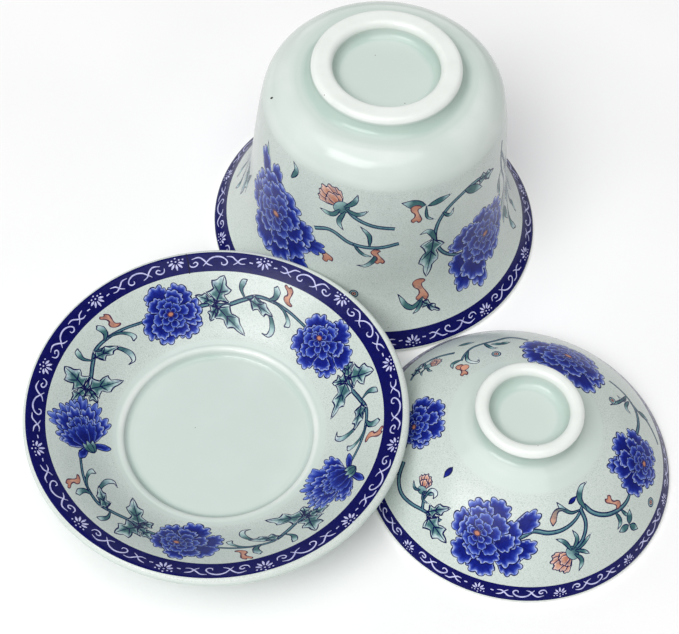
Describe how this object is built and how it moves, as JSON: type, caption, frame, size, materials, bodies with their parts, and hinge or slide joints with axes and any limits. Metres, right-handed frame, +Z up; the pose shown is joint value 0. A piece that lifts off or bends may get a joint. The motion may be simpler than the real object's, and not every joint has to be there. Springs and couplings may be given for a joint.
{
  "type": "gaiwan",
  "caption": "Porcelain gaiwan: flared tea bowl standing mouth down, domed lid with a hollow ring knob, and a deep saucer with a sunk well that takes the bowl's foot.",
  "frame": {"origin": "centre of the laid-out set's bounding box, on the table that all the pieces stand on", "axes": "+Z up from the table; +Y from the front, where the saucer and the lid are, to the bowl at the back; +X from the saucer to the lid"},
  "size_m": [0.1936, 0.2, 0.076],
  "materials": {
    "saucer_glaze": "gloss",
    "bowl_glaze": "gloss",
    "lid_glaze": "gloss"
  },
  "bodies": {
    "saucer": {"saucer": "saucer_glaze"},
    "bowl": {"bowl": "bowl_glaze"},
    "lid": {"lid": "lid_glaze"}
  },
  "joints": [
    {"name": "bowl_turn", "type": "hinge", "parent": "saucer", "child": "bowl", "pos_m": [-0.01843, 0.0013, 0.04095], "axis": [0.8984, -0.4392, 0], "range_deg": [0, 180]},
    {"name": "lid_lift", "type": "slide", "parent": "saucer", "child": "lid", "axis": [0.7071, 0, 0.7071], "range_m": [0, 0.08]}
  ]
}
